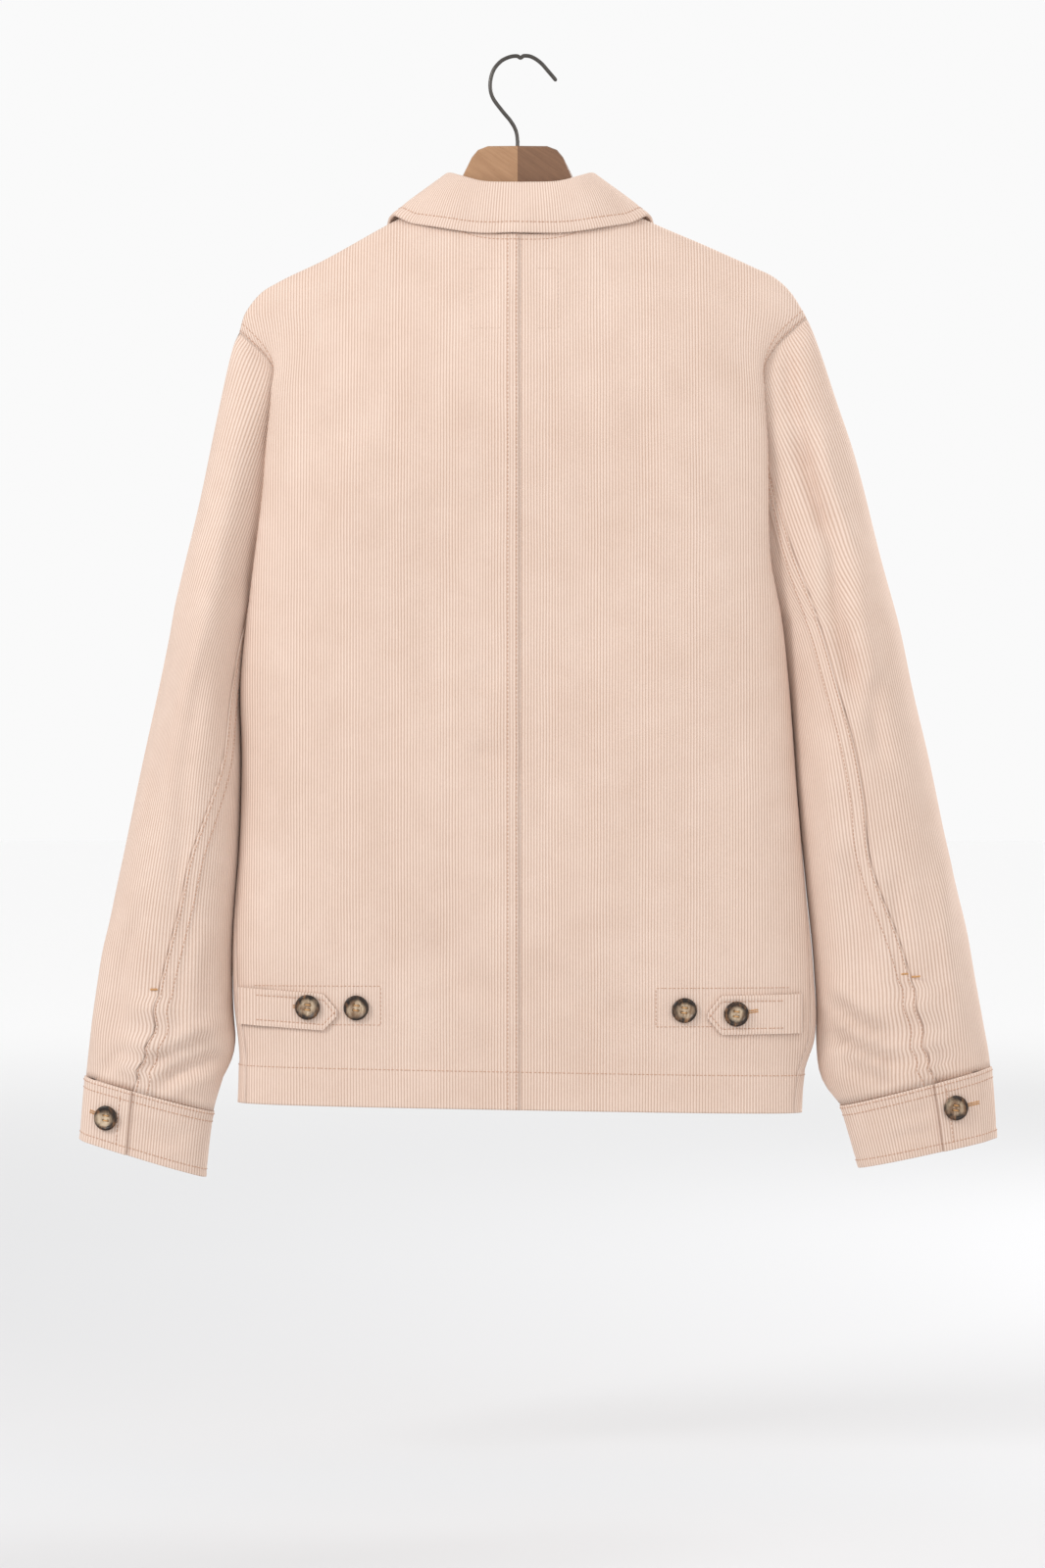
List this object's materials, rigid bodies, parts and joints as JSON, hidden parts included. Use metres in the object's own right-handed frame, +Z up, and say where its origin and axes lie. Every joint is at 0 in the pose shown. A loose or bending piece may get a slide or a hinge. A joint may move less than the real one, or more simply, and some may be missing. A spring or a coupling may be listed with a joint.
{
  "type": "work jacket on a wooden hanger",
  "caption": "Corduroy work jacket with a turn-down collar, two-piece sleeves, buttoned cuffs and waist tabs, hanging on a two-part wooden hanger with a wire hook.",
  "frame": {"origin": "top of the inside of the hanger's wire hook, where it rests on a rail, in the middle of the jacket's depth", "axes": "+Z up, +Y out of the jacket's back, -Y out of its buttoned front, +X towards the wearer's left"},
  "size_m": [0.7367, 0.1079, 0.905],
  "materials": {
    "corduroy": "pale pink-beige cotton corduroy with fine vertical ribs",
    "button_horn": "marbled dark brown and grey, polished",
    "wood": "brown satin wood",
    "wire": "dark gunmetal"
  },
  "bodies": {
    "root": {"back_left": "corduroy", "back_right": "corduroy", "button_cuff_left": "button_horn", "button_cuff_right": "button_horn", "button_front_1": "button_horn", "button_front_2": "button_horn", "button_front_3": "button_horn", "button_front_4": "button_horn", "button_front_5": "button_horn", "button_front_6": "button_horn", "button_tab_left": "button_horn", "button_tab_right": "button_horn", "button_waist_left": "button_horn", "button_waist_right": "button_horn", "collar_fall": "corduroy", "collar_stand": "corduroy", "cuff_left": "corduroy", "cuff_right": "corduroy", "front_left": "corduroy", "front_right": "corduroy", "hanger_hook": "wire", "hanger_left": "wood", "hanger_right": "wood", "sleeve_top_left": "corduroy", "sleeve_top_right": "corduroy", "sleeve_under_left": "corduroy", "sleeve_under_right": "corduroy", "waist_tab_left": "corduroy", "waist_tab_right": "corduroy"}
  },
  "joints": []
}
